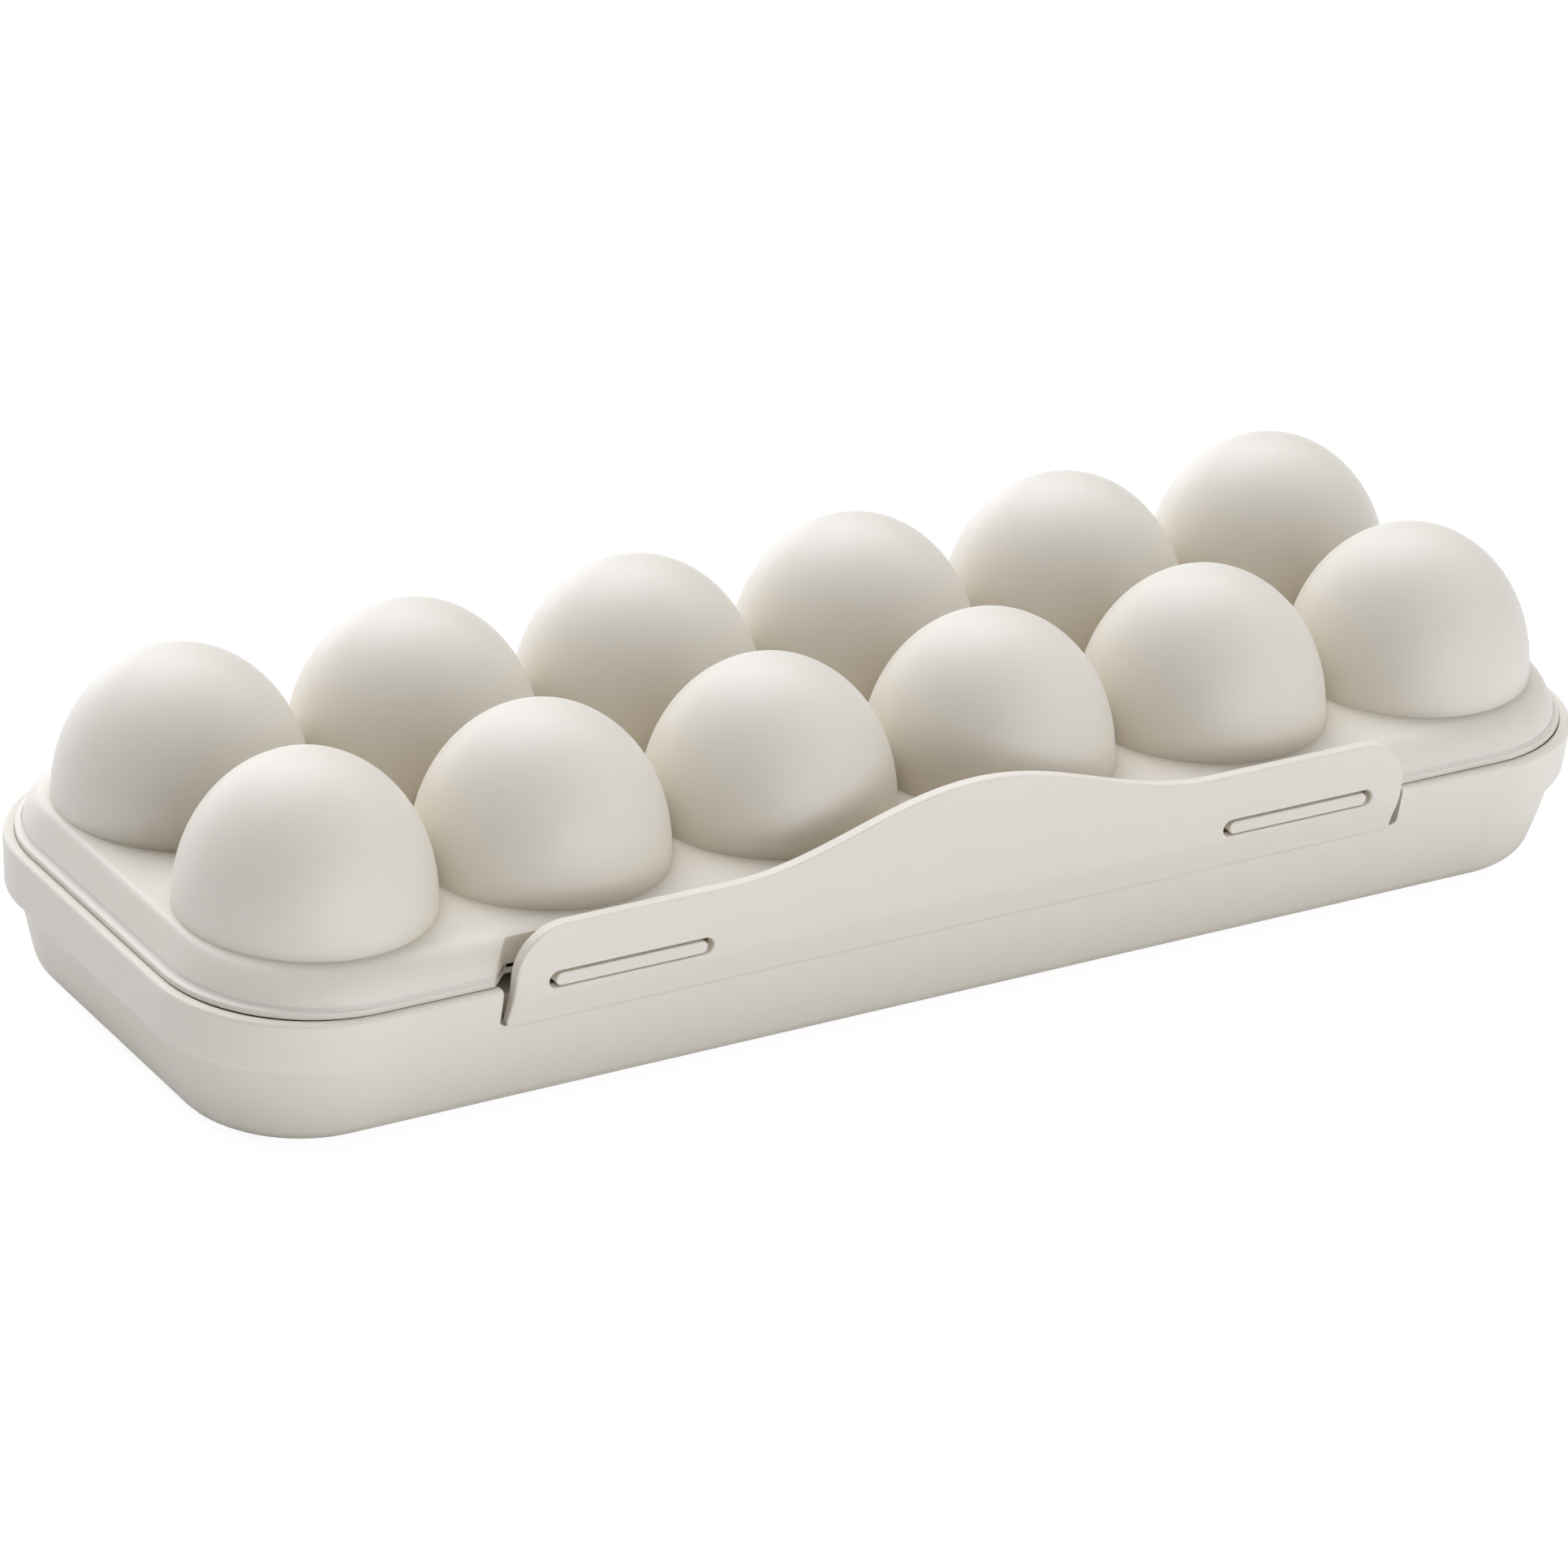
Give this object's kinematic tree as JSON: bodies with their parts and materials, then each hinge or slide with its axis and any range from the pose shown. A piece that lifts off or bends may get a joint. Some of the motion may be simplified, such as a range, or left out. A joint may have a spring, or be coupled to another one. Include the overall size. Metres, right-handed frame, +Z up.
{
  "type": "egg storage box",
  "caption": "Two-row egg box: a tub with an egg tray, a flip lid of tall round domes and a springy latch panel with two slots at the front.",
  "frame": {"origin": "middle of the flat underside of the base, on the surface that the box stands on", "axes": "+X along the box's length, -Y towards the latch panel, +Z up through the domes"},
  "size_m": [0.315, 0.1267, 0.067],
  "materials": {
    "base_cream": "fine matte moulded polypropylene, cream",
    "panel_cream": "fine matte moulded polypropylene, cream",
    "tray_cream": "fine matte moulded polypropylene, cream",
    "lid_cream": "fine matte moulded polypropylene with a soft sheen, cream"
  },
  "bodies": {
    "base": {"base_shell": "base_cream", "egg_tray": "tray_cream"},
    "lid": {"lid_shell": "lid_cream", "lid_catch_left": "lid_cream", "lid_catch_right": "lid_cream"},
    "latch_panel": {"latch_flap": "panel_cream"}
  },
  "joints": [
    {"name": "lid_hinge", "type": "hinge", "parent": "base", "child": "lid", "pos_m": [0, 0.0627, 0.0292], "axis": [-1, 0, 0], "range_deg": [0, 165], "deforming": ["lid_catch_left", "lid_catch_right"]},
    {"name": "latch_flap", "type": "hinge", "parent": "base", "child": "latch_panel", "pos_m": [0, -0.05658, 0.02075], "axis": [1, 0, 0], "range_deg": [0, 15], "stiffness_Nm_per_rad": 0.6}
  ]
}
